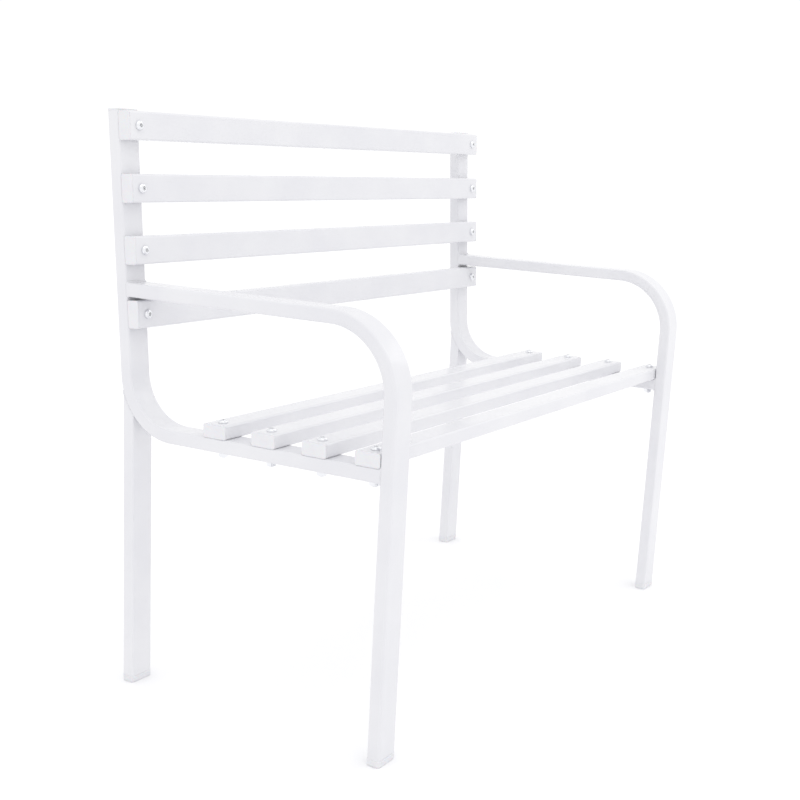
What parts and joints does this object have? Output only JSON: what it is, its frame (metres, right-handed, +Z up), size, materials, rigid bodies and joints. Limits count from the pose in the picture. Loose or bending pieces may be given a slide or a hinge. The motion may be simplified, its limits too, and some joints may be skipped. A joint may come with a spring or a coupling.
{
  "type": "garden bench",
  "caption": "Slatted garden bench of rectangular steel tube with bent arms, a leaning slatted back and plastic feet.",
  "frame": {"origin": "on the floor, under the centre of the bench's overall box", "axes": "+X along the bench, -Y the way the seat faces, +Z up"},
  "size_m": [0.9716, 0.5126, 0.8506],
  "materials": {
    "white_powder_coat": "gloss",
    "white_plastic": "satin",
    "bright_steel": "bright zinc plate"
  },
  "bodies": {
    "root": {"back_slat_bottom": "white_powder_coat", "back_slat_bottom_left_plug": "white_plastic", "back_slat_bottom_right_plug": "white_plastic", "back_slat_lower": "white_powder_coat", "back_slat_lower_left_plug": "white_plastic", "back_slat_lower_right_plug": "white_plastic", "back_slat_top": "white_powder_coat", "back_slat_top_left_plug": "white_plastic", "back_slat_top_right_plug": "white_plastic", "back_slat_upper": "white_powder_coat", "back_slat_upper_left_plug": "white_plastic", "back_slat_upper_right_plug": "white_plastic", "left_arm_and_front_leg": "white_powder_coat", "left_back_bolts": "bright_steel", "left_back_nuts": "bright_steel", "left_back_washers": "bright_steel", "left_front_foot": "white_plastic", "left_post_and_seat_rail": "white_powder_coat", "left_post_plug": "white_plastic", "left_rear_foot": "white_plastic", "left_rear_leg": "white_powder_coat", "left_seat_bolts": "bright_steel", "left_seat_nuts": "bright_steel", "left_seat_washers": "bright_steel", "right_arm_and_front_leg": "white_powder_coat", "right_back_bolts": "bright_steel", "right_back_nuts": "bright_steel", "right_back_washers": "bright_steel", "right_front_foot": "white_plastic", "right_post_and_seat_rail": "white_powder_coat", "right_post_plug": "white_plastic", "right_rear_foot": "white_plastic", "right_rear_leg": "white_powder_coat", "right_seat_bolts": "bright_steel", "right_seat_nuts": "bright_steel", "right_seat_washers": "bright_steel", "seat_slat_front": "white_powder_coat", "seat_slat_front_left_plug": "white_plastic", "seat_slat_front_right_plug": "white_plastic", "seat_slat_mid_front": "white_powder_coat", "seat_slat_mid_front_left_plug": "white_plastic", "seat_slat_mid_front_right_plug": "white_plastic", "seat_slat_mid_rear": "white_powder_coat", "seat_slat_mid_rear_left_plug": "white_plastic", "seat_slat_mid_rear_right_plug": "white_plastic", "seat_slat_rear": "white_powder_coat", "seat_slat_rear_left_plug": "white_plastic", "seat_slat_rear_right_plug": "white_plastic"}
  },
  "joints": []
}
